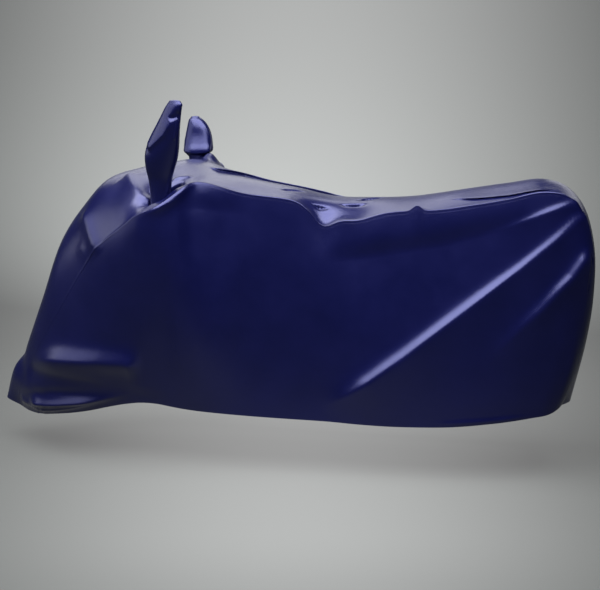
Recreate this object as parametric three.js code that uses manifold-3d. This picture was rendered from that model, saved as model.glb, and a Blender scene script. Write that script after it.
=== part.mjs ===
// Fitted cover for a small motorcycle, draped as it hangs on the machine: a long centre panel from nose to tail,
// a side panel on each side and a pocket for each mirror. Millimetres, +Z up.
// The tables give x towards the tail, y towards the right-hand side and z above the ground. The finished group is
// shifted so that its origin is the point under the seat where the cloth rests.
import * as THREE from 'three';
import { mergeVertices } from 'three/addons/utils/BufferGeometryUtils.js';
import Module from 'manifold-3d';

const SHEET = 2; // thickness of the cloth
const SEAM_GAP = 0.4; // each panel stops this far short of the line where it is sewn
const POCKET_GAP = 0.8; // let out all round, between a pocket and the hole it is sewn into
const SADDLE = { x: 330, z: 878 }; // the rest on the seat, on the underside of the cloth
const LENGTH_STEPS = 66; // steps from the nose hem to the tail hem
const CENTRE_STEPS = 12; // steps across the centre panel
const LEFT_STEPS = 22; // steps from the shoulder seam to the hem, on the side with the long pulls
const RIGHT_STEPS = 14;
const POCKET_SIDES = 20;
const FOLD_CROSSING = 30; // a fold dies out this far past the middle plane
const SEAM_FLATNESS = 0.7; // how much flatter than a parabola the strip runs to a creased seam
const PROBE = 0.02; // distance, in table rows, at which slopes are measured

// One row for each rib of the cover, from the nose to the tail. A rib runs from the crest on the middle plane to
// the shoulder seam, on to the fullest part of the side, and down to the hem. The last column says how sharp the
// cloth turns at the seam: 0 is round, 1 is a crease.
//   crest x, z      seam x, y, z      belly x, y, z      hem x, y, z      crease
const RIBS = [
  [-1090, 148, -1027, 52, 134, -973, 92, 125, -926, 126, 127, 0.1],
  [-1053, 262, -1004, 88, 208, -942, 136, 180, -890, 147, 132, 0.1],
  [-1010, 316, -978, 104, 250, -916, 156, 207, -868, 156, 136, 0.1],
  [-989, 370, -954, 118, 290, -890, 174, 232, -846, 165, 140, 0.1],
  [-917, 546, -888, 150, 396, -822, 208, 300, -780, 184, 152, 0.1],
  [-840, 738, -812, 183, 505, -748, 238, 372, -712, 200, 168, 0.15],
  [-768, 840, -734, 217, 616, -673, 263, 440, -645, 213, 187, 0.2],
  [-688, 923, -655, 252, 718, -600, 284, 508, -580, 223, 203, 0.5],
  [-590, 957, -560, 290, 808, -525, 300, 560, -522, 232, 212, 0.5],
  [-500, 972, -500, 312, 868, -465, 310, 595, -468, 238, 212, 0.8],
  [-425, 982, -440, 312, 906, -412, 312, 612, -418, 246, 207, 1],
  [-385, 975, -384, 272, 941, -375, 312, 612, -378, 248, 202, 1],
  [-330, 955, -338, 222, 953, -325, 300, 605, -325, 248, 197, 1],
  [-190, 925, -190, 190, 900, -195, 240, 586, -195, 246, 190, 1],
  [-50, 901, -41, 172, 878, -45, 220, 565, -45, 242, 185, 1],
  [68, 876, 68, 165, 854, 68, 214, 550, 68, 238, 182, 1],
  [190, 874, 190, 153, 830, 190, 210, 545, 190, 234, 177, 1],
  [330, 880, 330, 151, 846, 330, 208, 545, 330, 230, 174, 1],
  [480, 903, 480, 149, 854, 480, 205, 550, 480, 221, 178, 1],
  [630, 927, 630, 144, 887, 630, 197, 560, 610, 207, 192, 1],
  [745, 941, 742, 134, 911, 727, 187, 565, 680, 192, 201, 1],
  [814, 920, 810, 122, 899, 786, 173, 565, 735, 177, 209, 1],
  [871, 856, 862, 108, 846, 826, 161, 556, 768, 164, 213, 0.8],
  [906, 735, 898, 97, 730, 852, 148, 525, 790, 151, 219, 0.4],
  [910, 575, 903, 86, 570, 866, 134, 455, 806, 138, 227, 0.1],
  [893, 425, 887, 76, 425, 860, 118, 360, 816, 126, 234, 0.1],
  [852, 238, 849, 62, 238, 838, 92, 239, 822, 114, 238, 0.1],
];

// The handlebar stands higher on the right, so the cloth over it leans: rise for each millimetre to the right.
const HANDLEBAR = { x: -430, spread: 150, lean: 0.12 };

// Main folds. Each is a ridge, or a trough where its height is negative, along a line of places on the cloth, given
// as x, y, z. Its flanks have an upper and a lower width, and it dies out over the given share of its length at
// each end. Growth is the share by which it is smaller at its start and larger at its end.
const FOLDS = [
  // left side: the long pull from the tail, the two softer ones beside it, and the hollow under the seat
  {
    line: [
      [876, -96, 846], [838, -127, 825], [794, -148, 781], [683, -179, 684],
      [527, -202, 558], [335, -223, 402], [160, -234, 274], [45, -237, 205],
    ],
    upper: 30, lower: 75, height: 25, fadeIn: 0.05, fadeOut: 0.16, growth: 0.5,
  },
  {
    line: [[850, -105, 884], [767, -141, 856], [632, -162, 803], [430, -177, 732]],
    upper: 24, lower: 45, height: 10, fadeIn: 0.1, fadeOut: 0.6, growth: 0.2,
  },
  {
    line: [[892, -104, 762], [858, -139, 700], [774, -175, 588], [714, -191, 542], [559, -215, 352]],
    upper: 30, lower: 60, height: 16, fadeIn: 0.2, fadeOut: 0.6, growth: 0.3,
  },
  {
    line: [[760, -143, 850], [581, -163, 792], [277, -176, 724], [-4, -200, 690]],
    upper: 40, lower: 50, height: -9, fadeIn: 0.3, fadeOut: 0.3, growth: 0,
  },
  // left front: shelf over the front wheel, the tuck below it, the hem roll and the pulls at the cowl
  {
    line: [[-955, -115, 300], [-807, -214, 337], [-653, -261, 353], [-500, -271, 346]],
    upper: 45, lower: 32, height: 18, fadeIn: 0.25, fadeOut: 0.3, growth: 0,
  },
  {
    line: [[-975, -105, 274], [-828, -205, 278], [-700, -238, 270], [-600, -241, 250]],
    upper: 26, lower: 36, height: -10, fadeIn: 0.15, fadeOut: 0.4, growth: 0,
  },
  {
    line: [[-965, -115, 166], [-798, -197, 191], [-692, -220, 212], [-540, -240, 250]],
    upper: 20, lower: 20, height: 10, fadeIn: 0.2, fadeOut: 0.5, growth: 0,
  },
  {
    line: [[-640, -266, 700], [-676, -217, 750], [-745, -105, 832]],
    upper: 35, lower: 38, height: 14, fadeIn: 0.1, fadeOut: 0.3, growth: 0,
  },
  {
    line: [[-592, -85, 938], [-548, -165, 904], [-470, -245, 864]],
    upper: 35, lower: 30, height: 15, fadeIn: 0.15, fadeOut: 0.15, growth: 0,
  },
  // right side, slacker
  {
    line: [[850, 95, 860], [300, 214, 395]],
    upper: 45, lower: 85, height: 18, fadeIn: 0.1, fadeOut: 0.4, growth: 0,
  },
  {
    line: [[890, 85, 690], [600, 198, 400]],
    upper: 45, lower: 75, height: 13, fadeIn: 0.15, fadeOut: 0.5, growth: 0,
  },
  {
    line: [[800, 122, 850], [120, 186, 700]],
    upper: 50, lower: 50, height: -8, fadeIn: 0.3, fadeOut: 0.3, growth: 0,
  },
  {
    line: [[-940, 145, 330], [-520, 270, 365]],
    upper: 55, lower: 40, height: 12, fadeIn: 0.25, fadeOut: 0.3, growth: 0,
  },
  {
    line: [[-970, 130, 270], [-560, 245, 290]],
    upper: 30, lower: 40, height: -12, fadeIn: 0.2, fadeOut: 0.35, growth: 0,
  },
  {
    line: [[-660, 250, 712], [-730, 135, 825]],
    upper: 50, lower: 40, height: 12, fadeIn: 0.1, fadeOut: 0.3, growth: 0,
  },
  {
    line: [[-585, 115, 935], [-455, 305, 880]],
    upper: 45, lower: 30, height: 16, fadeIn: 0.2, fadeOut: 0.1, growth: 0,
  },
];

// Hollows pressed into the upper edge of the cloth: round the foot of each pocket, where the seam sags on the left
// between tank and seat, and along the right where the strip falls away. A negative depth is a hump: the cloth
// stands up behind the right pocket.
//   x, y, radius, depth
const HOLLOWS = [
  [-442, -236, 58, 46],
  [-446, 236, 58, 42],
  [62, -162, 50, 50],
  [150, -160, 62, 28],
  [255, -158, 62, 10],
  [-396, 206, 28, -46],
  [-318, 212, 62, 50],
  [-200, 190, 85, 26],
  [-70, 175, 85, 22],
  [50, 168, 75, 16],
];

// Mirror pockets, one row for each level from the open foot to the closed top. The two half sizes are those of a
// flattened oval, and the turn is its broad side's angle from the length of the cover.
//   z, x, y, half breadth, half depth, turn in degrees
const LEFT_POCKET = [
  [846, -444, -234, 33, 27, 0],
  [900, -444, -234, 33, 27, 0],
  [940, -443, -238, 37, 28, 0],
  [975, -440, -246, 45, 31, 2],
  [1005, -435, -252, 51, 33, 4],
  [1035, -429, -258, 53, 32, 6],
  [1080, -416, -266, 47, 27, 4],
  [1130, -398, -274, 36, 21, 0],
  [1165, -385, -279, 29, 15, -4],
  [1176, -380, -281, 26, 12, -6],
  [1186, -379, -282, 19, 8, -8],
];
const RIGHT_POCKET = [
  [898, -446, 234, 33, 27, 0],
  [984, -446, 234, 33, 27, 0],
  [1004, -445, 243, 51, 32, -3],
  [1030, -446, 249, 51, 33, -5],
  [1060, -446, 257, 46, 29, -5],
  [1088, -449, 265, 37, 23, -4],
  [1109, -455, 271, 26, 15, -2],
  [1119, -458, 274, 15, 8, 0],
];
const POCKET_SQUARENESS = 2.3; // 2 is an ellipse, more is a fuller oval

const NAVY = 0x191c50;

// Smooth lines through one named point of every rib.
function lineThrough(pick) {
  return new THREE.CatmullRomCurve3(RIBS.map(pick));
}

const CREST = lineThrough(([x, z]) => new THREE.Vector3(x, 0, z));
const SEAM = lineThrough((rib) => new THREE.Vector3(rib[2], -rib[3], rib[4]));
const BELLY = lineThrough((rib) => new THREE.Vector3(rib[5], -rib[6], rib[7]));
const HEM = lineThrough((rib) => new THREE.Vector3(rib[8], -rib[9], rib[10]));
const CREASE = lineThrough((rib, index) => new THREE.Vector3(index, rib[11], 0));
const LAST_RIB = RIBS.length - 1;

// The curve that leaves `start` along `slope` and ends at `end`, with the arriving slope that a parabola has.
function arrivingSlope(start, end, slope) {
  return end.clone().sub(start).multiplyScalar(2).sub(slope);
}

function arc(start, startSlope, end, endSlope) {
  const third = 1 / 3;
  return new THREE.CubicBezierCurve3(
    start,
    start.clone().addScaledVector(startSlope, third),
    end.clone().addScaledVector(endSlope, -third),
    end,
  );
}

// The left half of a rib, as three arcs: crest to seam, seam to belly, belly to hem.
function makeRib(s) {
  const u = THREE.MathUtils.clamp(s / LAST_RIB, 0, 1);
  const [crest, seam, belly, hem] = [CREST, SEAM, BELLY, HEM].map((line) => line.getPoint(u));
  const crease = THREE.MathUtils.clamp(CREASE.getPoint(u).y, 0, 1);
  const upper = belly.distanceTo(seam);
  const lower = hem.distanceTo(belly);
  const leave = new THREE.Vector3(0, -crest.distanceTo(seam), 0);
  const bow = 1 - SEAM_FLATNESS * crease; // 1 is a parabola from the crest, less runs flatter to the seam
  const arrive = seam.clone().sub(crest).multiplyScalar(1 + bow).addScaledVector(leave, -bow);
  const bellySlope = belly.clone().sub(seam).multiplyScalar(lower / upper);
  bellySlope.addScaledVector(hem.clone().sub(belly), upper / lower).divideScalar(upper + lower);
  const upperSlope = bellySlope.clone().multiplyScalar(upper);
  const lowerSlope = bellySlope.clone().multiplyScalar(lower);
  const depart = arrivingSlope(belly, seam, upperSlope.clone().negate()).negate();
  const shared = arrive.clone().normalize().add(depart.clone().normalize()).normalize();
  const soften = (slope) => shared.clone().multiplyScalar(slope.length()).lerp(slope, crease);
  return [
    arc(crest, leave, seam, soften(arrive)),
    arc(seam, soften(depart), belly, upperSlope),
    arc(belly, lowerSlope, hem, arrivingSlope(belly, hem, lowerSlope)),
  ];
}

const ribs = new Map();

// A point of the smooth cover: s counts ribs from the nose; t is 0 on the crest, 1 on the seam, 2 on the belly and
// 3 on the hem of the left side, and negative on the right side.
function smoothPoint(s, t) {
  if (!ribs.has(s)) {
    ribs.set(s, makeRib(s));
  }
  const reach = Math.min(Math.abs(t), 3);
  const part = Math.min(Math.floor(reach), 2);
  const point = ribs.get(s)[part].getPoint(reach - part);
  if (t < 0) {
    point.y = -point.y;
  }
  const { x: barX, spread, lean } = HANDLEBAR;
  const nearBar = Math.exp(-(((point.x - barX) / spread) ** 2));
  point.z += lean * nearBar * point.y * (1 - THREE.MathUtils.smoothstep(reach, 1, 2.2));
  const onTop = 1 - THREE.MathUtils.smoothstep(reach, 1, 1.7);
  const above = part === 0 ? point : ribs.get(s)[1].getPoint(0); // the side follows the seam above it
  const aside = Math.abs(above.y) * (t < 0 ? 1 : -1);
  for (const [x, y, radius, depth] of HOLLOWS) {
    point.z -= onTop * depth * Math.exp(-((above.x - x) ** 2 + (aside - y) ** 2) / radius ** 2);
  }
  return point;
}

// Outward normal of any surface that is a function of s and t.
function normalOf(surface, s, t) {
  const s0 = Math.max(s - PROBE, 0);
  const s1 = Math.min(s + PROBE, LAST_RIB);
  const t0 = Math.max(t - PROBE, -3);
  const t1 = Math.min(t + PROBE, 3);
  const alongLength = surface(s1, t).sub(surface(s0, t));
  const acrossWidth = surface(s, t1).sub(surface(s, t0));
  return acrossWidth.cross(alongLength).normalize();
}

const FOLD_LINES = FOLDS.map(({ line, ...sizes }) => {
  const places = line.map((place) => new THREE.Vector3(...place));
  let total = 0;
  const spans = places.slice(1).map((end, index) => {
    const from = places[index];
    const along = end.clone().sub(from);
    const length = along.length();
    const span = { from, along: along.divideScalar(length), length, start: total };
    total += length;
    return span;
  });
  return { ...sizes, spans, total, side: Math.sign(places[0].y) };
});

// Where a point lies from the nearest span of a fold: its share of the fold's length, its distance up the cloth
// from the fold's line, and how far it is off the line square to the cloth.
function placeOnFold(point, normal, { spans, total }) {
  const places = spans.map(({ from, along, length, start }) => {
    const offset = point.clone().sub(from);
    const run = offset.dot(along);
    offset.addScaledVector(along, -THREE.MathUtils.clamp(run, 0, length));
    const depth = offset.dot(normal);
    offset.addScaledVector(normal, -depth);
    const upSlope = normal.clone().cross(along);
    const above = offset.dot(upSlope) * (upSlope.y + upSlope.z) > 0;
    return { reach: (start + run) / total, across: (above ? 1 : -1) * offset.length(), depth };
  });
  return places.reduce((best, place) => (Math.abs(place.across) < Math.abs(best.across) ? place : best));
}

// How far the folds lift the cloth off the smooth cover at a point.
function foldLift(point, normal) {
  let lift = 0;
  for (const fold of FOLD_LINES) {
    const { reach, across, depth } = placeOnFold(point, normal, fold);
    const onSide = (fold.side * point.y + FOLD_CROSSING) / (2 * FOLD_CROSSING);
    const fade = Math.min(reach / fold.fadeIn, (1 - reach) / fold.fadeOut, onSide, 1);
    if (fade <= 0) {
      continue;
    }
    const size = 1 + fold.growth * (2 * reach - 1);
    const width = (across > 0 ? fold.upper : fold.lower) * size;
    const closeness = (across / width) ** 2 + (depth / (fold.upper + fold.lower)) ** 2;
    lift += fold.height * size * THREE.MathUtils.smoothstep(fade, 0, 1) * Math.exp(-closeness);
  }
  return lift;
}

// A point of the draped cloth, with its folds.
function clothPoint(s, t) {
  const point = smoothPoint(s, t);
  const normal = normalOf(smoothPoint, s, t);
  return point.addScaledVector(normal, foldLift(point, normal));
}

// Collects points and triangles of one closed piece.
class Builder {
  points = [];
  triangles = [];

  add(point) {
    return this.points.push(point.x, point.y, point.z) / 3 - 1;
  }

  quad(a, b, c, d) {
    this.triangles.push(a, b, c, a, c, d);
  }

  // A strip of quads between two rows of point numbers.
  strip(lower, upper, closed = false) {
    const count = closed ? lower.length : lower.length - 1;
    for (let i = 0; i < count; i += 1) {
      const next = (i + 1) % lower.length;
      this.quad(lower[i], lower[next], upper[next], upper[i]);
    }
  }

  geometry() {
    const shape = new THREE.BufferGeometry();
    shape.setAttribute('position', new THREE.Float32BufferAttribute(this.points, 3));
    shape.setIndex(this.triangles);
    return mergeVertices(shape);
  }
}

// Direction in the cloth, square to a seam line, that points towards smaller t.
function acrossSeam(s, t, normal) {
  const ahead = clothPoint(Math.min(s + PROBE, LAST_RIB), t);
  const behind = clothPoint(Math.max(s - PROBE, 0), t);
  return normal.clone().cross(ahead.sub(behind)).normalize();
}

// A panel of cloth between two values of t, with its outer face on the draped shape and its own thickness inwards.
// An edge that is sewn stops short of its seam.
function panelGeometry(tFrom, tTo, steps, sewnAtStart, sewnAtEnd) {
  const builder = new Builder();
  const outer = [];
  const inner = [];
  for (let i = 0; i <= LENGTH_STEPS; i += 1) {
    const s = LAST_RIB * BELLY.getUtoTmapping(i / LENGTH_STEPS);
    const places = Array.from({ length: steps + 1 }, (_, j) => tFrom + ((tTo - tFrom) * j) / steps);
    const row = places.map((t) => clothPoint(s, t));
    const normals = places.map((t) => normalOf(clothPoint, s, t));
    if (sewnAtStart) {
      row[0].addScaledVector(acrossSeam(s, tFrom, normals[0]), -SEAM_GAP);
    }
    if (sewnAtEnd) {
      row[steps].addScaledVector(acrossSeam(s, tTo, normals[steps]), SEAM_GAP);
    }
    outer.push(row.map((point) => builder.add(point)));
    inner.push(row.map((point, j) => builder.add(point.clone().addScaledVector(normals[j], -SHEET))));
  }
  const edge = (rows, j) => rows.map((row) => row[j]);
  for (let i = 0; i < LENGTH_STEPS; i += 1) {
    builder.strip(outer[i], outer[i + 1]);
    builder.strip(inner[i + 1], inner[i]);
  }
  builder.strip(inner[0], outer[0]);
  builder.strip(outer[LENGTH_STEPS], inner[LENGTH_STEPS]);
  builder.strip(edge(outer, 0), edge(inner, 0));
  builder.strip(edge(inner, steps), edge(outer, steps));
  return builder.geometry();
}

// One level of a pocket: a flattened oval, drawn in or let out by `margin`.
function pocketRing([z, x, y, breadth, depth, turn], margin) {
  const axis = new THREE.Vector3(0, 0, 1);
  const power = 2 / POCKET_SQUARENESS;
  return Array.from({ length: POCKET_SIDES }, (_, i) => {
    const angle = (2 * Math.PI * i) / POCKET_SIDES;
    const [cos, sin] = [Math.cos(angle), Math.sin(angle)];
    const point = new THREE.Vector3(
      (breadth + margin) * Math.sign(cos) * Math.abs(cos) ** power,
      (depth + margin) * Math.sign(sin) * Math.abs(sin) ** power,
      0,
    );
    return point.applyAxisAngle(axis, THREE.MathUtils.degToRad(turn)).add(new THREE.Vector3(x, y, z));
  });
}

// A hollow pocket, open at its foot and closed at the top.
function pocketGeometry(levels) {
  const builder = new Builder();
  const last = levels.length - 1;
  const top = levels[last];
  const roofed = levels.with(last, top.with(0, top[0] - SHEET));
  const outer = levels.map((level) => pocketRing(level, 0).map((point) => builder.add(point)));
  const inner = roofed.map((level) => pocketRing(level, -SHEET).map((point) => builder.add(point)));
  for (let i = 0; i < last; i += 1) {
    builder.strip(outer[i], outer[i + 1], true);
    builder.strip(inner[i + 1], inner[i], true);
  }
  builder.strip(inner[0], outer[0], true);
  const [topZ, topX, topY] = top;
  const outerTip = builder.add(new THREE.Vector3(topX, topY, topZ));
  const innerTip = builder.add(new THREE.Vector3(topX, topY, topZ - SHEET));
  for (let i = 0; i < POCKET_SIDES; i += 1) {
    const next = (i + 1) % POCKET_SIDES;
    builder.triangles.push(outer[last][i], outer[last][next], outerTip);
    builder.triangles.push(inner[last][next], inner[last][i], innerTip);
  }
  return builder.geometry();
}

// The upright plug that cuts a pocket's hole: the pocket's own foot, let out by the gap and made taller.
function holeGeometry(levels) {
  const builder = new Builder();
  const [foot, neck] = levels;
  const span = neck[0] - foot[0];
  const rings = [foot[0] - span, neck[0] + span].map((z) => {
    return pocketRing(foot.with(0, z), POCKET_GAP).map((point) => builder.add(point));
  });
  builder.strip(rings[0], rings[1], true);
  const centres = [foot[0] - span, neck[0] + span].map((z) => builder.add(new THREE.Vector3(foot[1], foot[2], z)));
  for (let i = 0; i < POCKET_SIDES; i += 1) {
    const next = (i + 1) % POCKET_SIDES;
    builder.triangles.push(rings[0][next], rings[0][i], centres[0]);
    builder.triangles.push(rings[1][i], rings[1][next], centres[1]);
  }
  return builder.geometry();
}

const wasm = await Module();
wasm.setup();

function toSolid(geometry) {
  return new wasm.Manifold(new wasm.Mesh({
    numProp: 3,
    vertProperties: geometry.getAttribute('position').array,
    triVerts: Uint32Array.from(geometry.getIndex().array),
  }));
}

function toGeometry(solid) {
  const { vertProperties, triVerts } = solid.getMesh();
  const shape = new THREE.BufferGeometry();
  shape.setAttribute('position', new THREE.BufferAttribute(vertProperties, 3));
  shape.setIndex(new THREE.BufferAttribute(triVerts, 1));
  return shape;
}

function centrePanelGeometry() {
  const whole = toSolid(panelGeometry(-1, 1, CENTRE_STEPS, true, true));
  const holed = [LEFT_POCKET, RIGHT_POCKET].reduce((panel, levels) => {
    return panel.subtract(toSolid(holeGeometry(levels)));
  }, whole);
  return toGeometry(holed);
}

const cloth = new THREE.MeshStandardMaterial({ color: NAVY, roughness: 0.35, metalness: 0 });

function piece(name, geometry) {
  const mesh = new THREE.Mesh(geometry, cloth);
  mesh.name = name;
  return mesh;
}

const cover = new THREE.Group();
cover.add(
  piece('centre_panel', centrePanelGeometry()),
  piece('side_panel_left', panelGeometry(1, 3, LEFT_STEPS, true, false)),
  piece('side_panel_right', panelGeometry(-3, -1, RIGHT_STEPS, false, true)),
  piece('mirror_pocket_left', pocketGeometry(LEFT_POCKET)),
  piece('mirror_pocket_right', pocketGeometry(RIGHT_POCKET)),
);
cover.position.set(-SADDLE.x, 0, -SADDLE.z);

export default cover;
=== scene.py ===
"""Glossy navy cover for a small motorcycle, draped as it hangs, with its stage."""

import math
from typing import NamedTuple

import bmesh
import bpy
import numpy as np
from bpy.props import FloatProperty, FloatVectorProperty, IntProperty, PointerProperty
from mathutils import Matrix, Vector


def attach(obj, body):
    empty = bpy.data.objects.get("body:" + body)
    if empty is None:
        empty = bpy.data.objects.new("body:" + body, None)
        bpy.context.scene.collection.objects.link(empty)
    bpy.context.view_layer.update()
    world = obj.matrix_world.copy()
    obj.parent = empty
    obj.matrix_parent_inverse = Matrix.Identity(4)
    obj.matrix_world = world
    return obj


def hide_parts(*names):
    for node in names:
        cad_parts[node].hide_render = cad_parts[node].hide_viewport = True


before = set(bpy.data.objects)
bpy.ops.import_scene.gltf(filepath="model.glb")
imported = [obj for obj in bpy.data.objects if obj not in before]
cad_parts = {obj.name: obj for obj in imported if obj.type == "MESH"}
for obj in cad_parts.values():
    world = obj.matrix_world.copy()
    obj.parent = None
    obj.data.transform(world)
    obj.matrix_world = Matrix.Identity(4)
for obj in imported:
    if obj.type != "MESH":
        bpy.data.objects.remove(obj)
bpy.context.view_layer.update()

bl_info = {
    "name": "Motorcycle cover",
    "version": (1, 0, 0),
    "blender": (4, 5, 0),
    "location": "View3D > Sidebar > Cover",
    "description": "Builds a draped motorcycle cover of coated polyester and its studio",
    "category": "Add Mesh",
}

# The tables count millimetres: x towards the tail, y towards the right-hand side, z above the ground.
# The frame's origin is the rest under the cover's top.
MM = 0.001
SADDLE = np.array([330.0, 0.0, 878.0])
PROBE = 0.02  # distance, in table rows, at which slopes are measured
FINE_STEPS = 4000  # steps in which a line is measured before it is divided evenly
MERGE = 1e-5  # distance, in metres, at which vertices are one
CREASE_FLATNESS = 0.7  # how much flatter the cloth runs to a creased seam than to a round one
FOLD_CROSSING = 30.0  # a fold dies out this far past the middle plane
CREASE_DEPTH = 40.0  # a crease acts on cloth this near to its line
TOWARDS_LEFT = np.array([0.0, -1.0, 0.0])
FACING_FROM, FACING_FULL = 0.05, 0.5  # cosines between which a pocket's face comes to look left

# One row for each rib of the cover, from the nose to the tail: the crest on the middle plane, the shoulder
# seam, the belly or fullest part of the side, the hem, and how sharp the cloth turns at the seam, from 0 where
# it is round to 1 where it is a crease.
# crest x, z, seam x, y, z, belly x, y, z, hem x, y, z, crease
RIBS = np.array([
    (-1090, 148, -1027, 52, 134, -973, 92, 125, -926, 126, 127, 0.1),
    (-1053, 262, -1004, 88, 208, -942, 136, 180, -890, 147, 132, 0.1),
    (-1010, 316, -978, 104, 250, -916, 156, 207, -868, 156, 136, 0.1),
    (-989, 370, -954, 118, 290, -890, 174, 232, -846, 165, 140, 0.1),
    (-917, 546, -888, 150, 396, -822, 208, 300, -780, 184, 152, 0.1),
    (-840, 738, -812, 183, 505, -748, 238, 372, -712, 200, 168, 0.15),
    (-768, 840, -734, 217, 616, -673, 263, 440, -645, 213, 187, 0.2),
    (-688, 923, -655, 252, 718, -600, 284, 508, -580, 223, 203, 0.5),
    (-590, 957, -560, 290, 808, -525, 300, 560, -522, 232, 212, 0.5),
    (-500, 972, -500, 312, 868, -465, 310, 595, -468, 238, 212, 0.8),
    (-425, 982, -440, 312, 906, -412, 312, 612, -418, 246, 207, 1),
    (-385, 975, -384, 272, 941, -375, 312, 612, -378, 248, 202, 1),
    (-330, 955, -338, 222, 953, -325, 300, 605, -325, 248, 197, 1),
    (-190, 925, -190, 190, 900, -195, 240, 586, -195, 246, 190, 1),
    (-50, 901, -41, 172, 878, -45, 220, 565, -45, 242, 185, 1),
    (68, 876, 68, 165, 854, 68, 214, 550, 68, 238, 182, 1),
    (190, 874, 190, 153, 830, 190, 210, 545, 190, 234, 177, 1),
    (330, 880, 330, 151, 846, 330, 208, 545, 330, 230, 174, 1),
    (480, 903, 480, 149, 854, 480, 205, 550, 480, 221, 178, 1),
    (630, 927, 630, 144, 887, 630, 197, 560, 610, 207, 192, 1),
    (745, 941, 742, 134, 911, 727, 187, 565, 680, 192, 201, 1),
    (814, 920, 810, 122, 899, 786, 173, 565, 735, 177, 209, 1),
    (871, 856, 862, 108, 846, 826, 161, 556, 768, 164, 213, 0.8),
    (906, 735, 898, 97, 730, 852, 148, 525, 790, 151, 219, 0.4),
    (910, 575, 903, 86, 570, 866, 134, 455, 806, 138, 227, 0.1),
    (893, 425, 887, 76, 425, 860, 118, 360, 816, 126, 234, 0.1),
    (852, 238, 849, 62, 238, 838, 92, 239, 822, 114, 238, 0.1),
])
LAST_RIB = len(RIBS) - 1

# The cloth's front shoulders lean: rise for each millimetre to the right, round one place along the cover.
LEAN_X, LEAN_SPREAD, LEAN_RISE = -430.0, 150.0, 0.12
# How far down the side the lean and the hollows end: 1 is the seam and 2 the fullest part.
LEAN_END, HOLLOW_END = 2.2, 1.7

# Hollows pressed into the upper edge of the cloth, or humps where the depth is negative.
# x, y, radius, depth
HOLLOWS = (
    (-442, -236, 58, 46),
    (-446, 236, 58, 42),
    (62, -162, 50, 55),
    (150, -160, 62, 19),
    (255, -158, 62, -4),
    (500, -148, 85, -7),
    (356, -151, 17, -17),
    (-394, 206, 40, -48),
    (-318, 212, 62, 50),
    (-200, 190, 85, 26),
    (-70, 175, 85, 22),
    (50, 168, 75, 16),
)

# Pockets from the open foot to the top: z, x, y, half breadth, half depth, turn in degrees
LEFT_POCKET = np.array([
    (846, -444, -234, 33, 27, 0),
    (900, -444, -234, 33, 27, 0),
    (940, -443, -238, 37, 28, 0),
    (975, -440, -246, 45, 31, 2),
    (1005, -435, -252, 51, 33, 3),
    (1035, -429, -258, 53, 32, -4),
    (1080, -416, -266, 49, 27, -18),
    (1130, -398, -274, 38, 21, -24),
    (1165, -385, -279, 31, 15, -24),
    (1176, -380, -281, 28, 12, -22),
    (1186, -379, -282, 20, 8, -20),
])
RIGHT_POCKET = np.array([
    (898, -446, 236, 33, 22, 0),
    (984, -446, 237, 33, 21, 0),
    (1004, -445, 243, 51, 32, -3),
    (1030, -446, 248, 51, 33, -5),
    (1060, -446, 251, 46, 29, -5),
    (1088, -449, 253, 37, 25, -4),
    (1109, -455, 254.5, 26, 18, -2),
    (1119, -458, 255, 15, 10, 0),
])
POCKET_SQUARENESS = 2.3
POCKET_AROUND, POCKET_ROWS = 128, 120  # mesh steps round a pocket and up it
CAP_ROWS, CAP_RISE = 8, 4.0  # mesh steps of its rounded top, and its height
CAP_POINT = 1e-4  # share of its breadth that is left at the pole
ROW_SLACK = 0.02  # keeps the rows apart where a pocket's levels lie close
HOLE_GAP = 0.8  # room between a pocket's foot and the hole that it is sewn into
HOLE_RIM = (0.4, 1.6)  # shares of the hole's outline between which a vertex is on its rim


class Fold(NamedTuple):
    """A ridge along a line on the cloth, or a trough where its height is negative. Sizes in millimetres."""

    line: tuple  # places that it passes: x, y, z
    upper: float  # width of its upper flank
    lower: float  # width of its lower flank
    height: float
    fade_in: float  # share of its length over which it rises at its start
    fade_out: float
    edge: float = 2.0  # 2 is a round fold and 1 a sharp one
    growth: float = 0.0  # share by which it is smaller at its start and larger at its end
    lean: float = 0.0  # how far its top hangs over its lower flank


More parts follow.
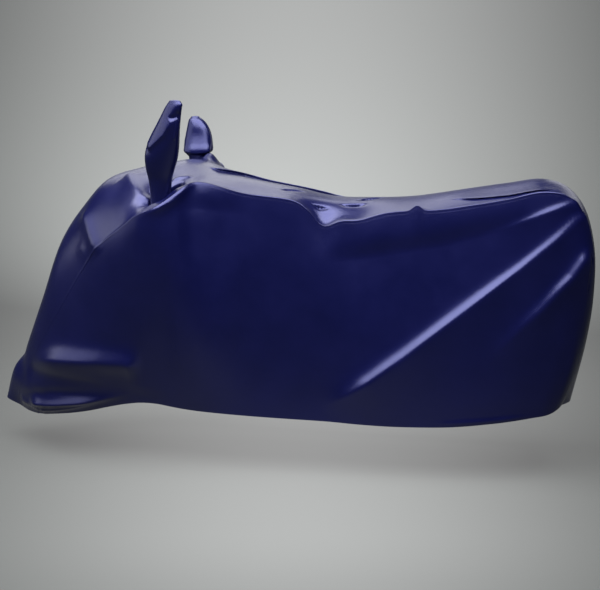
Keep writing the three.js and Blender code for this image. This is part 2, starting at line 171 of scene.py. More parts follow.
# Main folds, which the solids have too.
# line, upper, lower, height, fade in, fade out, edge, growth, lean
MAIN_FOLDS = (
    # left side: the long pull from the tail, the two softer ones beside it, and the hollow under the top edge
    Fold(
        ((876, -96, 846), (838, -127, 825), (794, -148, 781), (683, -179, 684), (527, -202, 558),
         (335, -223, 402), (225, -230, 319), (160, -234, 274), (70, -236, 220)),
        20, 75, 19, 0.03, 0.17, 1.3, 0.6,
    ),
    Fold(
        ((850, -105, 884), (821, -123, 876), (767, -141, 856), (704, -154, 831), (632, -162, 803),
         (560, -168, 775)),
        9, 36, 6.2, 0.05, 0.8, 1.4,
    ),
    Fold(
        ((892, -106, 750), (876, -125, 724), (856, -140, 691), (833, -153, 655), (794, -167, 614),
         (745, -184, 556), (689, -195, 500), (633, -205, 436), (584, -212, 372)),
        18, 55, 20, 0.14, 0.75, 1.4, 0.3,
    ),
    Fold(
        ((760, -145, 835), (701, -155, 815), (581, -167, 779), (430, -176, 738), (277, -180, 711),
         (121, -186, 685), (-4, -203, 665)),
        45, 250, -13, 0.3, 0.3,
    ),
    # left front: the shelf low down, the tuck below it, the hem roll and the pulls at the top of the quarter
    Fold(
        ((-955, -115, 300), (-908, -152, 315), (-807, -214, 337), (-653, -261, 353), (-564, -270, 356),
         (-500, -271, 346)),
        36, 46, 26, 0.36, 0.1, 1.6,
    ),
    Fold(((-975, -105, 274), (-828, -205, 278), (-700, -238, 270), (-600, -241, 250)), 22, 40, -6, 0.12, 0.4),
    Fold(
        ((-965, -115, 166), (-927, -143, 170), (-798, -197, 191), (-692, -220, 212), (-615, -232, 230),
         (-540, -240, 250)),
        15, 14, 21, 0.15, 0.5, 1.5,
    ),
    Fold(((-640, -266, 700), (-652, -252, 718), (-676, -217, 750), (-700, -180, 785), (-745, -105, 832)),
         22, 34, 12, 0.22, 0.3, 1.4),
    Fold(((-592, -85, 938), (-548, -165, 904), (-511, -218, 877), (-470, -245, 864)),
         22, 26, 14, 0.06, 0.12, 1.5),
    # right side, slacker
    Fold(((850, 95, 860), (300, 214, 395)), 45, 85, 18, 0.1, 0.4),
    Fold(((890, 85, 690), (600, 198, 400)), 45, 75, 13, 0.15, 0.5),
    Fold(((800, 122, 850), (120, 186, 700)), 50, 50, -8, 0.3, 0.3),
    Fold(((-940, 145, 330), (-520, 270, 365)), 55, 40, 12, 0.25, 0.3),
    Fold(((-970, 130, 270), (-560, 245, 290)), 30, 40, -12, 0.2, 0.35),
    Fold(((-660, 250, 712), (-730, 135, 825)), 50, 40, 12, 0.1, 0.3),
    Fold(((-585, 115, 935), (-455, 305, 880)), 45, 30, 16, 0.2, 0.1),
)

# Smaller creases that only the sheet has.
CREASES = (
    # pleat along the strip near the tail, whose edge leans over too
    Fold(((440, -88, 889), (540, -106, 893), (630, -112, 900), (720, -112, 912), (800, -94, 912)),
         26, 4, 5, 0.25, 0.2, 1.6, 0.0, 12),
    # edge of the far side, which stands up along the strip and leans over it
    Fold(((-352, 6, 963), (-310, 22, 951), (-250, 62, 934), (-145, 88, 916), (-31, 92, 896), (70, 84, 872),
          (150, 70, 868)), 46, 5, 10, 0.08, 0.25, 1.6, 0.0, 17),
    # short wrinkles across the strip
    Fold(((-90, -84, 905), (-15, -33, 898)), 4, 6, -12, 0.4, 0.4),
    Fold(((20, -122, 853), (70, -104, 850)), 4, 6, -11, 0.4, 0.4),
    Fold(((105, -92, 860), (190, -72, 862)), 4, 8, -13, 0.4, 0.4),
    Fold(((155, -52, 870), (250, 6, 874)), 4, 7, -11, 0.4, 0.4),
    # raised rim of the hollow round the left pocket, and the deep fold behind it
    Fold(((-485, -262, 862), (-443, -281, 863), (-409, -262, 878), (-386, -250, 899), (-364, -230, 920),
          (-348, -190, 936)), 9, 19, 17, 0.15, 0.4, 1.6, -0.3),
    Fold(((-476, -216, 877), (-457, -203, 883), (-431, -197, 893), (-405, -193, 911), (-385, -183, 928)),
         10, 22, -30, 0.15, 0.2, 1.7),
    # the side hangs straight below the seam behind that hollow
    Fold(((-400, -285, 838), (-320, -245, 850), (-240, -215, 838), (-150, -197, 818)),
         42, 260, -7, 0.3, 0.35),
    Fold(((-400, -300, 715), (-310, -270, 715), (-190, -235, 705)), 120, 260, -10, 0.4, 0.4),
    # second tuck at the front, the crease at the nose and the turned edge behind it
    Fold(((-1011, -77, 179), (-856, -188, 221), (-745, -220, 232), (-647, -235, 245)), 16, 14, -5, 0.2, 0.4),
    Fold(((-1012, -70, 160), (-951, -121, 156), (-902, -147, 146)), 9, 9, 7, 0.15, 0.1, 1.4),
    Fold(((-910, -143, 146), (-790, -191, 172), (-670, -221, 206)), 9, 9, 8, 0.05, 0.5, 1.4),
    # faint pull on the front quarter
    Fold(((-743, -177, 732), (-690, -236, 678)), 24, 30, 3, 0.4, 0.5, 1.5),
    # ridge inside the hollow behind the left pocket
    Fold(((-434, -164, 928), (-403, -151, 941), (-363, -153, 942)), 8, 10, 7, 0.3, 0.2, 1.5),
    # the side turns from the front quarter to the flank
    Fold(((-480, -315, 760), (-496, -293, 469), (-521, -237, 230)), 60, 60, 5, 0.3, 0.1, 1.6),
    # rolled hem towards the tail
    Fold(((400, -228, 186), (479, -221, 190), (600, -209, 201), (740, -176, 218)), 7, 9, 4, 0.4, 0.3, 1.6),
)

# Creases on the near face of each pocket: the edge pressed out from within and the dent behind it on the left
# one, the lip over the foot on the right one.
LEFT_POCKET_CREASES = (
    Fold(((-470, -285, 1036), (-440, -288, 1060), (-410, -288, 1083), (-392, -290, 1112), (-378, -290, 1138)),
         26, 7, 6, 0.1, 0.3, 1.4),
    Fold(((-394, -290, 1128), (-374, -288, 1140), (-360, -286, 1160)), 8, 6, -6, 0.2, 0.3),
)
RIGHT_POCKET_CREASES = (
    Fold(((-500, 214, 1003), (-446, 208, 1000), (-392, 214, 1005)), 24, 6, 8, 0.1, 0.1, 1.6, 0.0, 6),
)


def linear(hex_colour):
    """An sRGB hex colour as linear red, green, blue and alpha."""
    channels = [int(hex_colour[i:i + 2], 16) / 255 for i in (1, 3, 5)]
    return [c / 12.92 if c <= 0.04045 else ((c + 0.055) / 1.055) ** 2.4 for c in channels] + [1.0]


def smoothstep(value, low=0.0, high=1.0):
    """0 below low, 1 above high and a smooth rise between them."""
    x = np.clip((value - low) / (high - low), 0.0, 1.0)
    return x * x * (3 - 2 * x)


def unit(vectors):
    """The vectors at length 1."""
    return vectors / np.maximum(np.linalg.norm(vectors, axis=-1, keepdims=True), 1e-12)


def length(vectors):
    """Lengths of the vectors, in a last axis of one."""
    return np.linalg.norm(vectors, axis=-1, keepdims=True)


def line_through(points, s):
    """Centripetal Catmull-Rom line through the rows of points, at row numbers s that may be fractions."""
    ends = np.vstack([2 * points[0] - points[1], points, 2 * points[-1] - points[-2]])
    row = np.clip(np.floor(s).astype(int), 0, len(points) - 2)
    w = (s - row)[..., None]
    p0, p1, p2, p3 = (ends[row + k] for k in range(4))
    d0, d1, d2 = (np.sqrt(length(b - a)) for a, b in ((p0, p1), (p1, p2), (p2, p3)))
    leave = d1 * ((p1 - p0) / d0 - (p2 - p0) / (d0 + d1) + (p2 - p1) / d1)
    arrive = d1 * ((p2 - p1) / d1 - (p3 - p1) / (d1 + d2) + (p3 - p2) / d2)
    return hermite(p1, leave, p2, arrive, w)


def hermite(start, leave, end, arrive, w):
    """The cubic from start to end with the given slopes at both."""
    fall = 1 - w
    return (
        start * (1 + 2 * w) * fall**2 + leave * w * fall**2
        + end * (3 - 2 * w) * w**2 - arrive * fall * w**2
    )


ZERO = np.zeros(len(RIBS))
CREST = np.column_stack([RIBS[:, 0], ZERO, RIBS[:, 1]])
SEAM = RIBS[:, 2:5] * (1, -1, 1)
BELLY = RIBS[:, 5:8] * (1, -1, 1)
HEM = RIBS[:, 8:11] * (1, -1, 1)
CREASE = np.column_stack([np.arange(len(RIBS)), RIBS[:, 11], ZERO])


def smooth_cover(s, t):
    """Points of the cover without its folds. s counts ribs from the nose; t is 0 on the crest, 1 on the seam,
    2 on the belly, 3 on the hem of the left side, and negative on the right side."""
    s = np.clip(s, 0, LAST_RIB)
    crest, seam, belly, hem = (line_through(line, s) for line in (CREST, SEAM, BELLY, HEM))
    crease = np.clip(line_through(CREASE, s)[..., 1:2], 0, 1)
    upper, lower = length(belly - seam), length(hem - belly)
    leave = np.zeros_like(crest)
    leave[..., 1:2] = -length(seam - crest)
    bow = 1 - CREASE_FLATNESS * crease  # 1 is a parabola from the crest, less runs flatter to the seam
    arrive = (1 + bow) * (seam - crest) - bow * leave
    slope = ((belly - seam) * lower / upper + (hem - belly) * upper / lower) / (upper + lower)
    depart = 2 * (belly - seam) - slope * upper
    shared = unit(unit(arrive) + unit(depart))
    arrive, depart = (shared * length(v) * (1 - crease) + v * crease for v in (arrive, depart))
    reach = np.minimum(np.abs(t), 3.0)
    part = np.minimum(reach.astype(int), 2)
    w = (reach - part)[..., None]
    arcs = (
        hermite(crest, leave, seam, arrive, w),
        hermite(seam, depart, belly, slope * upper, w),
        hermite(belly, slope * lower, hem, 2 * (hem - belly) - slope * lower, w),
    )
    points = np.choose(part[..., None], arcs)
    side = np.where(t < 0, -1.0, 1.0)
    points[..., 1] *= side
    near_front = np.exp(-(((points[..., 0] - LEAN_X) / LEAN_SPREAD) ** 2))
    points[..., 2] += LEAN_RISE * near_front * points[..., 1] * (1 - smoothstep(reach, 1, LEAN_END))
    on_top = 1 - smoothstep(reach, 1, HOLLOW_END)
    top_x = np.where(reach < 1, points[..., 0], seam[..., 0])
    top_y = np.where(reach < 1, points[..., 1], side * seam[..., 1])
    for x, y, radius, depth in HOLLOWS:
        points[..., 2] -= on_top * depth * np.exp(-((top_x - x) ** 2 + (top_y - y) ** 2) / radius**2)
    return points


def cover_normals(s, t):
    """Outward normals of the cover without its folds."""
    along = smooth_cover(np.minimum(s + PROBE, LAST_RIB), t) - smooth_cover(np.maximum(s - PROBE, 0), t)
    across = smooth_cover(s, np.minimum(t + PROBE, 3)) - smooth_cover(s, np.maximum(t - PROBE, -3))
    return unit(np.cross(across, along))


def fold_push(points, normals, folds, facing=None):
    """How the folds move the cloth: out along its normals, and over their lower flanks where they lean.
    facing keeps them to the side of a pocket that looks there."""
    push = np.zeros_like(points)
    for fold in folds:
        line = np.array(fold.line, float)
        spans = np.diff(line, axis=0)
        spans_long = np.linalg.norm(spans, axis=1)
        starts = np.concatenate([[0.0], np.cumsum(spans_long)])
        nearest = np.full(points.shape[:-1], np.inf)
        reach, across, depth = (np.zeros(nearest.shape) for _ in range(3))
        upward = np.zeros_like(points)
        for place, span, long, start in zip(line, spans, spans_long, starts):
            along = span / long
            offset = points - place
            run = offset @ along
            kept = np.clip(run, 0, long) if len(spans) > 1 else run
            offset = offset - kept[..., None] * along
            off_sheet = np.sum(offset * normals, axis=-1)
            in_sheet = offset - off_sheet[..., None] * normals
            distance = np.linalg.norm(in_sheet, axis=-1)
            up = np.cross(normals, along)
            up = up * np.sign(up[..., 1:2] + up[..., 2:3])
            closer = distance < nearest
            nearest = np.where(closer, distance, nearest)
            reach = np.where(closer, (start + run) / starts[-1], reach)
            above = np.sum(in_sheet * up, axis=-1) > 0
            across = np.where(closer, np.where(above, distance, -distance), across)
            depth = np.where(closer, off_sheet, depth)
            upward = np.where(closer[..., None], up, upward)
        on_side = (np.sign(line[0, 1]) * points[..., 1] + FOLD_CROSSING) / (2 * FOLD_CROSSING)
        fade = np.minimum(np.minimum(reach / fold.fade_in, (1 - reach) / fold.fade_out), on_side)
        size = 1 + fold.growth * (2 * np.clip(reach, 0, 1) - 1)
        width = np.where(across > 0, fold.upper, fold.lower) * size
        deepest = max(fold.upper + fold.lower, CREASE_DEPTH)
        closeness = np.abs(across / width) ** fold.edge + (depth / deepest) ** 2
        share = size * smoothstep(fade) * np.exp(-closeness)
        if facing is not None:
            share *= smoothstep(normals @ facing, FACING_FROM, FACING_FULL)
        push += share[..., None] * (fold.height * normals - fold.lean * upward)
    return push


def in_frame(points):
    """Table millimetres as metres in the frame."""
    return (points - SADDLE) * MM


def even_ribs(line, steps):
    """Row numbers that divide a line through the ribs into equal lengths."""
    fine = np.linspace(0, LAST_RIB, FINE_STEPS + 1)
    steps_long = np.linalg.norm(np.diff(line_through(line, fine), axis=0), axis=1)
    run = np.concatenate([[0.0], np.cumsum(steps_long)])
    return np.interp(np.linspace(0, run[-1], steps + 1), run, fine)


def run_along(points, axis):
    """Distance walked along one direction of a grid of points."""
    steps = np.linalg.norm(np.diff(points, axis=axis), axis=-1)
    pad = [(0, 0), (0, 0)]
    pad[axis] = (1, 0)
    return np.pad(np.cumsum(steps, axis=axis), pad)


def drape(points, across, along, edge):
    """A sheet from a grid of points in metres: rows run along the cloth and columns across it. across and
    along are its weave's own coordinates and edge the distance from its nearest sewn edge, all in metres."""
    rows, columns = points.shape[0] - 1, points.shape[1] - 1
    bm = bmesh.new()
    bmesh.ops.create_grid(bm, x_segments=columns, y_segments=rows, size=0.5)
    weave = bm.loops.layers.uv.new("weave")
    sewn = bm.verts.layers.float.new("edge")
    places = [
        (round((v.co.y + 0.5) * rows), round((v.co.x + 0.5) * columns)) for v in bm.verts
    ]
    bm.verts.index_update()
    for vert, place in zip(bm.verts, places):
        vert.co = points[place]
        vert[sewn] = edge[place]
    for edge_line in bm.edges:
        edge_line.smooth = not edge_line.is_boundary
    for face in bm.faces:
        face.smooth = True
        for loop in face.loops:
            place = places[loop.vert.index]
            loop[weave].uv = (across[place], along[place])
    return bm


def finish_sheet(context, bm, name, node):
    """Turns a bmesh into a finished sheet that stands for its CAD node."""
    sizes = context.scene.cover_sizes
    mesh = bpy.data.meshes.new(name)
    bm.to_mesh(mesh)
    bm.free()
    mesh.materials.append(coated_polyester(context))
    piece = bpy.data.objects.new(name, mesh)
    context.scene.collection.objects.link(piece)
    thickness = piece.modifiers.new("cloth thickness", "SOLIDIFY")
    thickness.thickness = sizes.cloth
    thickness.offset = -1.0
    thickness.use_rim = True
    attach(piece, "root")
    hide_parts(node)
    return piece


def cloth_points(s, t):
    """Points of the draped cloth in millimetres, folds and creases included."""
    points = smooth_cover(s, t)
    normals = cover_normals(s, t)
    return points + fold_push(points, normals, MAIN_FOLDS + CREASES)


def draw_back(points, gap):
    """Moves the first column of a grid of points away from the seam that it is sewn to."""
    points[:, 0] += unit(points[:, 1] - points[:, 0]) * gap


def add_node(tree, kind, links=(), values=(), **settings):
    """Adds a node: settings are its properties, or its sockets' values under their names with _ for a space,
    and links and values pair one of its sockets with another node's output or with a number."""
    node = tree.nodes.new(kind)
    for key, value in settings.items():
        if hasattr(node, key):
            setattr(node, key, value)
        else:
            node.inputs[key.replace("_", " ")].default_value = value
    for socket, value in values:
        node.inputs[socket].default_value = value
    for socket, source in links:
        tree.links.new(source, node.inputs[socket])
    return node


class Lobe(NamedTuple):
    """One way in which the cloth throws back light."""

    smooth: float  # roughness where the coating is thickest
    dull: float  # and where it is thinnest
    level: float  # strength of the reflection, 0.5 for plain plastic


SHINE = Lobe(0.18, 0.24, 0.65)  # the film's own shine
SHEEN = Lobe(0.36, 0.42, 0.6)  # softer glow of the filaments under it
SHEEN_SHARE = 0.3
FILM_IOR = 1.5
CLOUD_LOW, CLOUD_HIGH = 0.3, 0.7  # values between which the clouds of the coating vary
STITCH_RELIEF = 4.0  # how many times higher a stitch stands than the weave
BUMP_STRENGTH = 0.25
WAVE_TURN = 0.314159  # scale at which a wave texture's bands stand one metre apart


def coated_polyester(context):
    """Tightly woven polyester with a glossy coating: near-black navy face on, pale lavender where it catches
    light."""
    name = "coated polyester"
    if name in bpy.data.materials:
        return bpy.data.materials[name]
    sizes, colours = context.scene.cover_sizes, context.scene.cover_colours
    material = bpy.data.materials.new(name)
    material.use_nodes = True
    tree = material.node_tree
    tree.nodes.clear()
    weave = add_node(tree, "ShaderNodeUVMap", uv_map="weave").outputs["UV"]
    place = add_node(tree, "ShaderNodeTexCoord").outputs["Object"]
    edge = add_node(tree, "ShaderNodeAttribute", attribute_name="edge").outputs["Fac"]

    # the coating lies unevenly, so the navy and its shine vary softly over a hand's breadth
    cloud = add_node(
        tree, "ShaderNodeTexNoise", [("Vector", place)], Scale=1 / sizes.mottle, Detail=3.0, Roughness=0.55,
    ).outputs["Fac"]
    navy = add_node(
        tree, "ShaderNodeMix", [(0, cloud)], ((6, [*colours.cloth, 1.0]), (7, [*colours.cloth_worn, 1.0])),
        data_type="RGBA",
    ).outputs[2]

    # crossing yarns, drawn coarser than the real 0.3 mm so that they don't flicker
    yarns = [
        add_node(
            tree, "ShaderNodeTexWave", [("Vector", weave)],
            Scale=WAVE_TURN / sizes.yarn, bands_direction=axis,
        ).outputs["Fac"]
        for axis in "XY"
    ]
    grain = add_node(tree, "ShaderNodeMath", [(0, yarns[0]), (1, yarns[1])], operation="MULTIPLY").outputs[0]

    # a row of stitches holds down each seam and hem
    on_row = add_node(
        tree, "ShaderNodeMath", [(0, edge)], [(1, sizes.stitch_row), (2, sizes.thread)], operation="COMPARE",
    ).outputs[0]
    stitch_run = add_node(
        tree, "ShaderNodeTexWave", [("Vector", weave)], Scale=WAVE_TURN / sizes.stitch, bands_direction="Y",
    ).outputs["Fac"]
    stitched = add_node(
        tree, "ShaderNodeMath", [(0, on_row), (1, stitch_run)], operation="MULTIPLY",
    ).outputs[0]
    relief = add_node(
        tree, "ShaderNodeMath", [(0, stitched), (2, grain)], [(1, STITCH_RELIEF)], operation="MULTIPLY_ADD",
    ).outputs[0]
    bump = add_node(
        tree, "ShaderNodeBump", [("Height", relief)], Strength=BUMP_STRENGTH, Distance=sizes.grain,
    ).outputs["Normal"]

    lobes = []
    for lobe, tint in ((SHINE, colours.gloss), (SHEEN, colours.sheen)):
        roughness = add_node(
            tree, "ShaderNodeMapRange", [("Value", cloud)],
            From_Min=CLOUD_LOW, From_Max=CLOUD_HIGH, To_Min=lobe.smooth, To_Max=lobe.dull,
        ).outputs["Result"]
        lobes.append(add_node(
            tree, "ShaderNodeBsdfPrincipled",
            [("Base Color", navy), ("Roughness", roughness), ("Normal", bump)],
            IOR=FILM_IOR, Specular_IOR_Level=lobe.level, Specular_Tint=[*tint, 1.0],
        ).outputs["BSDF"])
    cloth = add_node(tree, "ShaderNodeMixShader", [(1, lobes[0]), (2, lobes[1])], Fac=SHEEN_SHARE)
    add_node(tree, "ShaderNodeOutputMaterial", [("Surface", cloth.outputs["Shader"])])
    return material


class CoverSizes(bpy.types.PropertyGroup):
    """Sizes of the cover's cloth."""

    cloth: FloatProperty(
        name="Cloth", description="Thickness of the sheet as modelled",
        default=0.0012, min=0.0002, max=0.003, unit="LENGTH",
    )
    seam_gap: FloatProperty(
        name="Seam gap", description="Distance from each panel's edge to the seam line",
        default=0.0001, min=0.0, max=0.001, unit="LENGTH",
    )
    welt: FloatProperty(
        name="Welt", description="Width of the rolled edge along each shoulder seam",
        default=0.007, min=0.002, max=0.03, unit="LENGTH",
    )
    welt_height: FloatProperty(
        name="Welt height", description="How far that edge stands up",
        default=0.0025, min=0.0, max=0.01, unit="LENGTH",
    )
    mottle: FloatProperty(
        name="Mottle", description="Size of the clouds in which the coating varies",
        default=0.11, min=0.01, max=1.0, unit="LENGTH",
    )
    yarn: FloatProperty(
        name="Yarn", description="Distance from yarn to yarn as drawn",
        default=0.0016, min=0.0003, max=0.01, unit="LENGTH",
    )
    grain: FloatProperty(
        name="Grain", description="Relief of the weave as drawn",
        default=0.0002, min=0.0, max=0.002, unit="LENGTH",
    )
    stitch_row: FloatProperty(
        name="Stitch row", description="Distance of the stitches from a seam or hem",
        default=0.009, min=0.002, max=0.04, unit="LENGTH",
    )
    stitch: FloatProperty(
        name="Stitch", description="Length of one stitch with its space",
        default=0.006, min=0.001, max=0.02, unit="LENGTH",
    )
    thread: FloatProperty(
        name="Thread", description="Half the width of the sewing thread as drawn",
        default=0.0006, min=0.0001, max=0.003, unit="LENGTH",
    )
    length_steps: IntProperty(
        name="Length steps", description="Mesh steps from the nose hem to the tail hem",
        default=285, min=60, max=400,
    )


class CoverColours(bpy.types.PropertyGroup):
    """Colours of the cloth and the stage."""

    cloth: FloatVectorProperty(
        name="Cloth", description="Navy of the woven cloth", subtype="COLOR",
        default=linear("#050726")[:3], min=0.0, max=1.0,
    )
    cloth_worn: FloatVectorProperty(
        name="Thin cloth", description="Navy of the cloth where the coating is thin", subtype="COLOR",
        default=linear("#070930")[:3], min=0.0, max=1.0,
    )
    gloss: FloatVectorProperty(
        name="Gloss", description="Tint of the coating's shine", subtype="COLOR",
        default=linear("#c4c8ff")[:3], min=0.0, max=1.0,
    )
    sheen: FloatVectorProperty(
        name="Sheen", description="Tint of the yarn's soft sheen under the coating", subtype="COLOR",
        default=linear("#7078ff")[:3], min=0.0, max=1.0,
    )
    # a dark grey; the floor looks pale from the lamps and its painted glow
    floor: FloatVectorProperty(
        name="Floor", description="Pale grey of the studio floor", subtype="COLOR",
        default=linear("#3a3c3b")[:3], min=0.0, max=1.0,
    )


CENTRE_COLUMNS = 168  # mesh steps across the strip


class COVER_OT_centre_panel(bpy.types.Operator):
    """Build the long strip from the nose hem over the top to the tail hem"""

    bl_idname = "cover.centre_panel"
    bl_label = "Centre panel"

    def execute(self, context):
        sizes = context.scene.cover_sizes
        even = np.linspace(-1, 1, CENTRE_COLUMNS + 1)
        t = 0.5 * even + 0.5 * np.sin(even * np.pi / 2)  # columns stand closer towards the seams
        s = even_ribs((SEAM + BELLY) / 2, sizes.length_steps)
        s, t = np.meshgrid(s, t, indexing="ij")
        points = cloth_points(s, t)
        from_seam = run_along(points, 1)
        from_seam = np.minimum(from_seam, from_seam[:, -1:] - from_seam) * MM
        welt = sizes.welt_height * np.exp(-(((from_seam - sizes.welt / 2) / (sizes.welt / 2)) ** 2)) / MM
        welt *= np.clip(line_through(CREASE, s)[..., 1], 0, 1)
        points = in_frame(points + cover_normals(s, t) * welt[..., None])
        draw_back(points, sizes.seam_gap)
        draw_back(points[:, ::-1], sizes.seam_gap)
        across, along = run_along(points, 1), run_along(points, 0)
        edge = np.minimum.reduce([across, across[:, -1:] - across, along, along[-1:] - along])
        bm = drape(points, across, along, edge)
        for levels in (LEFT_POCKET, RIGHT_POCKET):
            cut_pocket_hole(bm, levels[0])
        finish_sheet(
            context, bm, "cover_centre", "centre_panel",
        )
        return {"FINISHED"}


def cut_pocket_hole(bm, foot):
    """Cuts the oval hole that a pocket is sewn into, a little larger than the pocket's foot."""
    breadth, depth = foot[3:5] + HOLE_GAP

    def outline(vert):
        x, y = (np.array(vert.co[:2]) / MM + SADDLE[:2]) - foot[1:3]
        return (abs(x / breadth) ** POCKET_SQUARENESS + abs(y / depth) ** POCKET_SQUARENESS) ** (
            1 / POCKET_SQUARENESS
        )

    rings = {v: outline(v) for v in bm.verts}
    inside = [f for f in bm.faces if sum(rings[v] for v in f.verts) < len(f.verts)]
    bmesh.ops.delete(bm, geom=inside, context="FACES")
    centre = Vector(in_frame(np.array([foot[1], foot[2], 0.0])))
    for edge in [e for e in bm.edges if e.is_boundary]:
        for vert in edge.verts:
            ring = outline(vert)
            if not HOLE_RIM[0] < ring < HOLE_RIM[1] or abs(ring - 1) < MERGE:
                continue
            step = (vert.co - centre).xy * (1 / ring - 1)
            normal = vert.normal
            vert.co += Vector((step.x, step.y, -(normal.x * step.x + normal.y * step.y) / normal.z))


class COVER_OT_side_panels(bpy.types.Operator):
    """Build the large panel on each side, from the shoulder seam to the hem"""

    bl_idname = "cover.side_panels"
    bl_label = "Side panels"

    def execute(self, context):
        sizes = context.scene.cover_sizes
        for name, node, side, columns, area in (
            ("cover_left_side", "side_panel_left", 1, 168, 1.24),
            ("cover_right_side", "side_panel_right", -1, 120, 1.26),
        ):
            s = even_ribs((SEAM + BELLY) / 2, sizes.length_steps)
            t = np.linspace(1, 3, columns + 1)
            s, t = np.meshgrid(s, t, indexing="ij")
            points = in_frame(cloth_points(s, side * t))
            draw_back(points, sizes.seam_gap)
            across, along = run_along(points, 1), run_along(points, 0)
            edge = np.minimum(across, across[:, -1:] - across)
            if side < 0:
                points, across, along, edge = (grid[:, ::-1] for grid in (points, across, along, edge))
            bm = drape(points, across, along, edge)
            finish_sheet(
                context, bm, name, node,
            )
        return {"FINISHED"}


class COVER_OT_mirror_pockets(bpy.types.Operator):
    """Build the two tall flattened bags that are sewn into the strip"""

    bl_idname = "cover.mirror_pockets"
    bl_label = "Mirror pockets"

    def execute(self, context):
        for name, node, levels, creases, flat, area in (
            ("cover_left_pocket", "mirror_pocket_left",
             LEFT_POCKET, LEFT_POCKET_CREASES, (0.25, 0.37), 0.077),
            ("cover_right_pocket", "mirror_pocket_right",
             RIGHT_POCKET, RIGHT_POCKET_CREASES, (0.24, 0.25), 0.05),
        ):
            points = pocket_points(levels)
            wrapped = np.concatenate([points[:, -2:-1], points, points[:, 1:2]], axis=1)
            normals = unit(np.cross(np.gradient(wrapped, axis=1)[:, 1:-1], np.gradient(points, axis=0)))
            points = in_frame(points + fold_push(points, normals, creases, TOWARDS_LEFT))
            across, along = run_along(points, 1), run_along(points, 0)
            bm = drape(points, across, along, along)
            bmesh.ops.remove_doubles(bm, verts=bm.verts, dist=MERGE)
            finish_sheet(
                context, bm, name, node,
            )
        return {"FINISHED"}


def pocket_points(levels):
    """Points of a pocket: rings of a flattened oval from its foot up, closed by a rounded top."""
    fine = np.linspace(0, len(levels) - 1, FINE_STEPS // 2 + 1)
    run = np.concatenate([[0.0], np.cumsum(np.abs(np.diff(line_through(levels, fine)[:, 0])) + ROW_SLACK)])
    rows = line_through(levels, np.interp(np.linspace(0, run[-1], POCKET_ROWS - CAP_ROWS + 1), run, fine))
    cap = np.repeat(rows[-1:], CAP_ROWS, axis=0)
    turn = np.linspace(0, np.pi / 2, CAP_ROWS + 1)[1:, None]
    cap[:, 3:5] *= np.maximum(np.cos(turn), CAP_POINT)
    cap[:, 0:1] += CAP_RISE * np.sin(turn)
    rows = np.vstack([rows, cap])
    angle = np.linspace(0, 2 * np.pi, POCKET_AROUND + 1)
    power = 2 / POCKET_SQUARENESS
    cos, sin = (np.sign(f) * np.abs(f) ** power for f in (np.cos(angle), np.sin(angle)))
    z, x, y, breadth, depth, twist = (rows[:, k:k + 1] for k in range(6))
    twist = np.radians(twist)
    a, b = breadth * cos, depth * sin
    return np.stack([
        x + a * np.cos(twist) - b * np.sin(twist),
        y + a * np.sin(twist) + b * np.cos(twist),
        np.broadcast_to(z, a.shape),
    ], axis=-1)


# Studio, in metres in the frame: a round floor that sweeps up to a wall.
GROUND = -SADDLE[2] * MM
FLOOR_CENTRE = (-0.42, 0.0, GROUND)
FLOOR_RADIUS, SWEEP_RADIUS = 2.0, 5.0  # of the flat floor, and of the curve that rises from its edge
SWEEP_STEPS, ROUND_STEPS = 24, 96

# Lights: name, place, point looked at, width, height, power in watts
LIGHTS = (
    ("overhead softbox", (-0.7, -1.35, 2.1), (-0.7, -1.35, 0.0), 4.6, 3.1, 468.0),
    ("low back softbox", (-1.75, 2.5, 1.5), (-0.9, 0.0, 0.0), 2.4, 1.5, 14.5),
    ("high back softbox", (-1.5, 2.3, 3.0), (-0.6, 0.0, 0.0), 3.6, 1.5, 48.0),
    ("tail softbox", (1.35, 2.5, 0.75), (0.5, 0.0, 0.0), 1.5, 0.9, 4.2),
    ("front softbox", (-3.2, -0.9, 1.05), (-1.0, -0.3, 1.05), 2.7, 1.8, 30.0),
    ("backdrop light", (-1.15, 2.2, 1.1), (-1.2, 6.0, 0.7), 2.0, 0.8, 400.0),
)
WORLD_LIGHT = 0.1
WHITE = (1.0, 1.0, 1.0, 1.0)
# Painted glow: the sweep gives off light of its own along a lane, which keeps the shadows on it light.
FLOOR_GLOW = 0.325
GLOW_PLACE, GLOW_TURN = (-0.37, 0.0, 0.0), math.radians(10)  # middle of the lane and the way that it runs
GLOW_WIDTH, GLOW_FAN = 1.69, 0.38  # half the lane's width at the cover, and how much it widens along the way
GLOW_START, GLOW_FULL = -2.0, -0.7  # where it begins in front of the cover and where it is full
CAMERA_PLACE = (0.313, -3.873, 0.394)
CAMERA_TARGET = (-0.370, 0.0, -0.335)
CAMERA_SENSOR, CAMERA_LENS = 36.0, 72.0  # in millimetres


def look_at(place, target):
    """Turn of a lamp or camera at a place that looks at a target."""
    return (Vector(target) - Vector(place)).to_track_quat("-Z", "Y").to_euler()


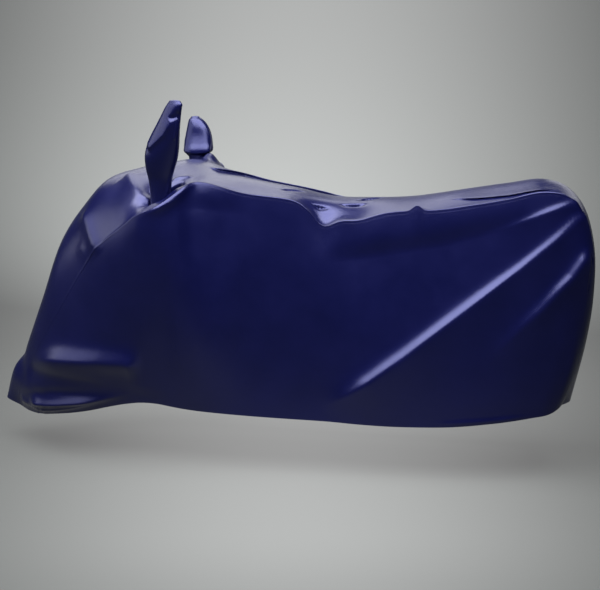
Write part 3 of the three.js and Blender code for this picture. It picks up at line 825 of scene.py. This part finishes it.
def acrylic_with_painted_glow(context):
    """Sanded acrylic: a pale matt ground without shine, with a painted glow along a lane that lightens the
    shadows on it.
    """
    material = bpy.data.materials.new("backlit acrylic")
    material.use_nodes = True
    tree = material.node_tree
    shader = tree.nodes["Principled BSDF"]
    place = add_node(tree, "ShaderNodeTexCoord").outputs["Object"]
    lane = add_node(
        tree, "ShaderNodeMapping", [("Vector", place)], vector_type="TEXTURE",
        Location=GLOW_PLACE, Rotation=(0.0, 0.0, GLOW_TURN),
    ).outputs["Vector"]
    lane = add_node(tree, "ShaderNodeSeparateXYZ", [(0, lane)]).outputs
    width = add_node(
        tree, "ShaderNodeMath", [(0, lane["Y"])], [(1, GLOW_FAN), (2, GLOW_WIDTH)], operation="MULTIPLY_ADD",
    ).outputs[0]
    aside = add_node(tree, "ShaderNodeMath", [(0, lane["X"]), (1, width)], operation="DIVIDE").outputs[0]
    aside = add_node(tree, "ShaderNodeMath", [(0, aside)], operation="ABSOLUTE").outputs[0]
    across, along = (
        add_node(
            tree, "ShaderNodeMapRange", [("Value", value)], From_Min=dark, From_Max=full,
            interpolation_type="SMOOTHSTEP",
        ).outputs["Result"]
        for value, dark, full in ((aside, 1.0, 0.0), (lane["Y"], GLOW_START, GLOW_FULL))
    )
    # painted glow: light given off by the floor itself, strongest in the lane where the cover's shadow falls
    glow = add_node(tree, "ShaderNodeMath", [(0, across), (1, along)], operation="MULTIPLY").outputs[0]
    glow = add_node(tree, "ShaderNodeMath", [(0, glow)], [(1, FLOOR_GLOW)], operation="MULTIPLY").outputs[0]
    shader.inputs["Base Color"].default_value = [*context.scene.cover_colours.floor, 1.0]
    shader.inputs["Roughness"].default_value = 0.9
    shader.inputs["Specular IOR Level"].default_value = 0.1
    shader.inputs["Emission Color"].default_value = WHITE
    tree.links.new(glow, shader.inputs["Emission Strength"])
    return material


class COVER_OT_stage(bpy.types.Operator):
    """Build the studio: a pale floor that sweeps up all round, soft lights and the camera"""

    bl_idname = "cover.stage"
    bl_label = "Stage"

    def execute(self, context):
        scene = context.scene
        scene.view_settings.view_transform = "Standard"
        bm = bmesh.new()
        rise = np.linspace(0, math.pi / 2, SWEEP_STEPS + 1)[1:]
        sweep = [(0.0, 0.0), (FLOOR_RADIUS, 0.0)]
        sweep += [(FLOOR_RADIUS + SWEEP_RADIUS * math.sin(a), SWEEP_RADIUS * (1 - math.cos(a))) for a in rise]
        centre = Vector(FLOOR_CENTRE)
        verts = [bm.verts.new(centre + Vector((radius, 0.0, height))) for radius, height in sweep]
        edges = [bm.edges.new(pair) for pair in zip(verts, verts[1:])]
        bmesh.ops.spin(
            bm, geom=verts + edges, cent=centre, axis=(0, 0, 1), angle=2 * math.pi, steps=ROUND_STEPS,
            use_merge=True,
        )
        bmesh.ops.remove_doubles(bm, verts=bm.verts, dist=MERGE)
        bmesh.ops.recalc_face_normals(bm, faces=bm.faces)
        for face in bm.faces:
            face.smooth = True
        mesh = bpy.data.meshes.new("studio_floor")
        bm.to_mesh(mesh)
        bm.free()
        mesh.materials.append(acrylic_with_painted_glow(context))
        floor = bpy.data.objects.new("studio_floor", mesh)
        scene.collection.objects.link(floor)
        for name, place, target, width, height, power in LIGHTS:
            light = bpy.data.lights.new(name, "AREA")
            light.shape = "RECTANGLE"
            light.size = width
            light.size_y = height
            light.energy = power
            lamp = bpy.data.objects.new(name, light)
            lamp.location = place
            lamp.rotation_euler = look_at(place, target)
            lamp.visible_camera = False
            scene.collection.objects.link(lamp)
        world = bpy.data.worlds.new("studio")
        world.use_nodes = True
        background = world.node_tree.nodes["Background"]
        background.inputs["Color"].default_value = WHITE
        background.inputs["Strength"].default_value = WORLD_LIGHT
        scene.world = world
        lens = bpy.data.cameras.new("camera")
        lens.sensor_width = CAMERA_SENSOR
        lens.lens = CAMERA_LENS
        camera = bpy.data.objects.new("camera", lens)
        camera.location = CAMERA_PLACE
        camera.rotation_euler = look_at(CAMERA_PLACE, CAMERA_TARGET)
        scene.collection.objects.link(camera)
        scene.camera = camera
        return {"FINISHED"}


class COVER_PT_sidebar(bpy.types.Panel):
    """Lists the cover's pieces, sizes and colours"""

    bl_label = "Motorcycle cover"
    bl_idname = "COVER_PT_sidebar"
    bl_space_type = "VIEW_3D"
    bl_region_type = "UI"
    bl_category = "Cover"

    def draw(self, context):
        for group in (context.scene.cover_sizes, context.scene.cover_colours):
            box = self.layout.box()
            for name in group.__annotations__:
                box.prop(group, name)
        for operator in OPERATORS:
            self.layout.operator(operator.bl_idname)


OPERATORS = (COVER_OT_centre_panel, COVER_OT_side_panels, COVER_OT_mirror_pockets, COVER_OT_stage)
CLASSES = (CoverSizes, CoverColours, *OPERATORS, COVER_PT_sidebar)


def register():
    for cls in CLASSES:
        bpy.utils.register_class(cls)
    bpy.types.Scene.cover_sizes = PointerProperty(type=CoverSizes)
    bpy.types.Scene.cover_colours = PointerProperty(type=CoverColours)


def unregister():
    del bpy.types.Scene.cover_colours
    del bpy.types.Scene.cover_sizes
    for cls in reversed(CLASSES):
        bpy.utils.unregister_class(cls)


def main():
    register()
    bpy.ops.cover.centre_panel()
    bpy.ops.cover.side_panels()
    bpy.ops.cover.mirror_pockets()
    bpy.ops.cover.stage()


if __name__ == "__main__":
    main()
